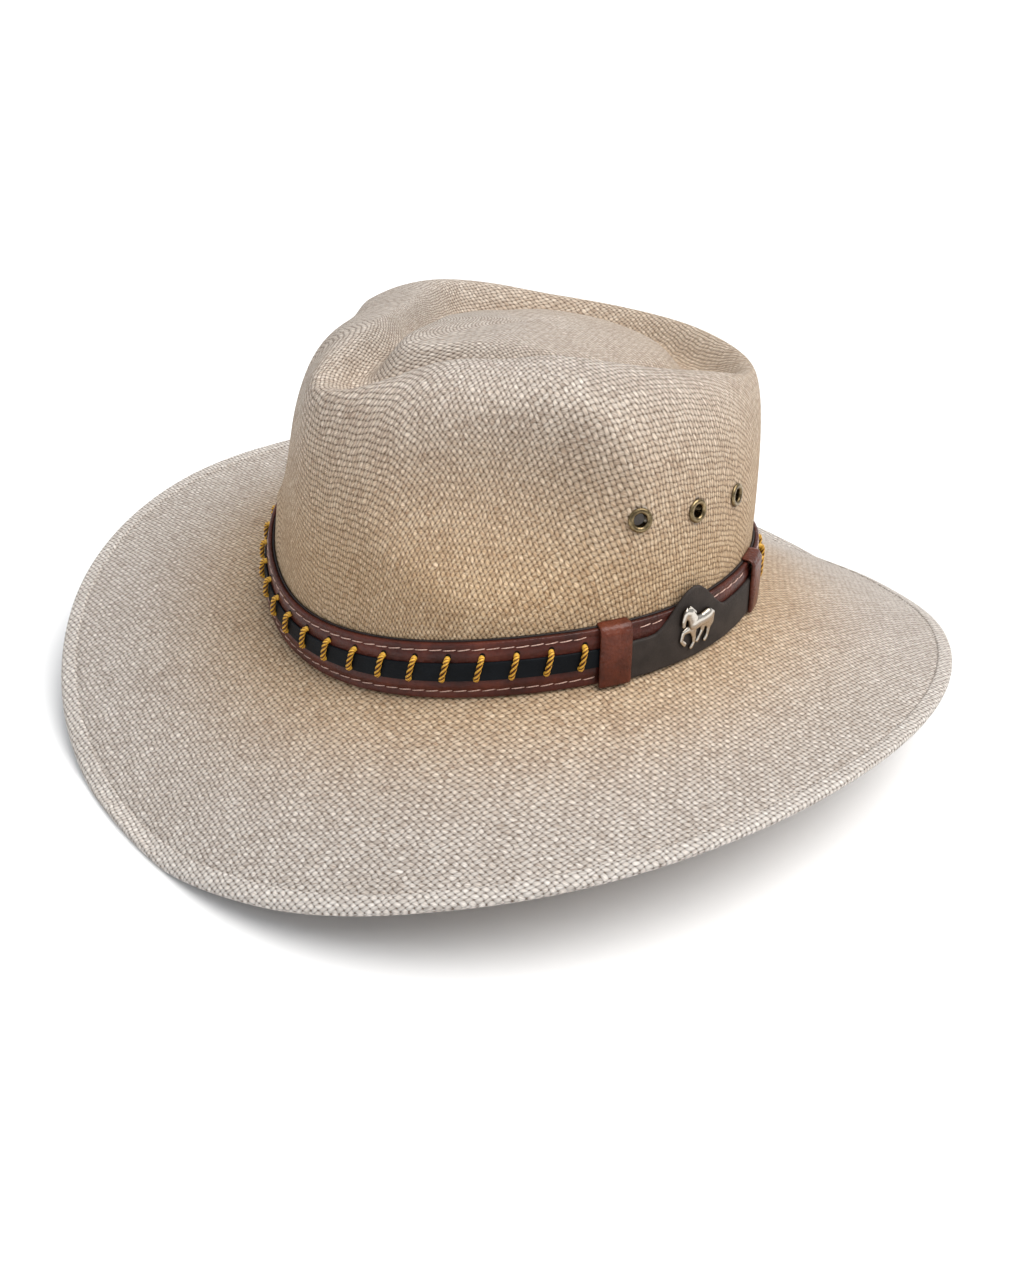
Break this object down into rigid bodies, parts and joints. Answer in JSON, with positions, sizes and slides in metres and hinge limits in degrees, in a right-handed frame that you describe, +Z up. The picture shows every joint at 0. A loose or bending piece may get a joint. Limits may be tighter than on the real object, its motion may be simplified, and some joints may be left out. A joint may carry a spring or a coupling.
{
  "type": "outback hat",
  "caption": "Woven straw outback hat with a pinched teardrop crown, a wide dipping brim, brass eyelets and a laced leather band with a small cast ornament.",
  "frame": {"origin": "on the surface that the hat rests on, below the middle of the brim", "axes": "+Z up, -Y towards the front of the hat, +X towards the wearer's left"},
  "size_m": [0.326, 0.348, 0.1472],
  "materials": {
    "straw": "woven straw cloth, matt with a slight sheen",
    "backing": "dark smooth leather",
    "leather": "brown semi-gloss leather",
    "strip": "black satin leather lace",
    "cord": "twisted gold cord",
    "plate": "dark brown matt leather",
    "silver": "cast silver-coloured metal",
    "brass": "antique brass"
  },
  "bodies": {
    "root": {"hat_body": "straw", "eyelet_left_1": "brass", "eyelet_left_2": "brass", "eyelet_left_3": "brass", "eyelet_right_1": "brass", "eyelet_right_2": "brass", "eyelet_right_3": "brass", "band_backing": "backing", "band_strap": "leather", "lace_strip": "strip", "keeper_front": "leather", "keeper_rear": "leather", "band_plate": "plate", "lace_loop_01": "cord", "lace_loop_02": "cord", "lace_loop_03": "cord", "lace_loop_04": "cord", "lace_loop_05": "cord", "lace_loop_06": "cord", "lace_loop_07": "cord", "lace_loop_08": "cord", "lace_loop_09": "cord", "lace_loop_10": "cord", "lace_loop_11": "cord", "lace_loop_12": "cord", "lace_loop_13": "cord", "lace_loop_14": "cord", "lace_loop_15": "cord", "lace_loop_16": "cord", "lace_loop_17": "cord", "lace_loop_18": "cord", "lace_loop_19": "cord", "lace_loop_20": "cord", "lace_loop_21": "cord", "lace_loop_22": "cord", "lace_loop_23": "cord", "lace_loop_24": "cord", "lace_loop_25": "cord", "lace_loop_26": "cord", "lace_loop_27": "cord", "lace_loop_28": "cord", "lace_loop_29": "cord", "lace_loop_30": "cord", "lace_loop_31": "cord", "lace_loop_32": "cord", "lace_loop_33": "cord", "lace_loop_34": "cord", "lace_loop_35": "cord", "lace_loop_36": "cord", "lace_loop_37": "cord", "lace_loop_38": "cord", "lace_loop_39": "cord", "lace_loop_40": "cord", "lace_loop_41": "cord", "lace_loop_42": "cord", "lace_loop_43": "cord", "lace_loop_44": "cord", "horse_ornament": "silver"}
  },
  "joints": []
}
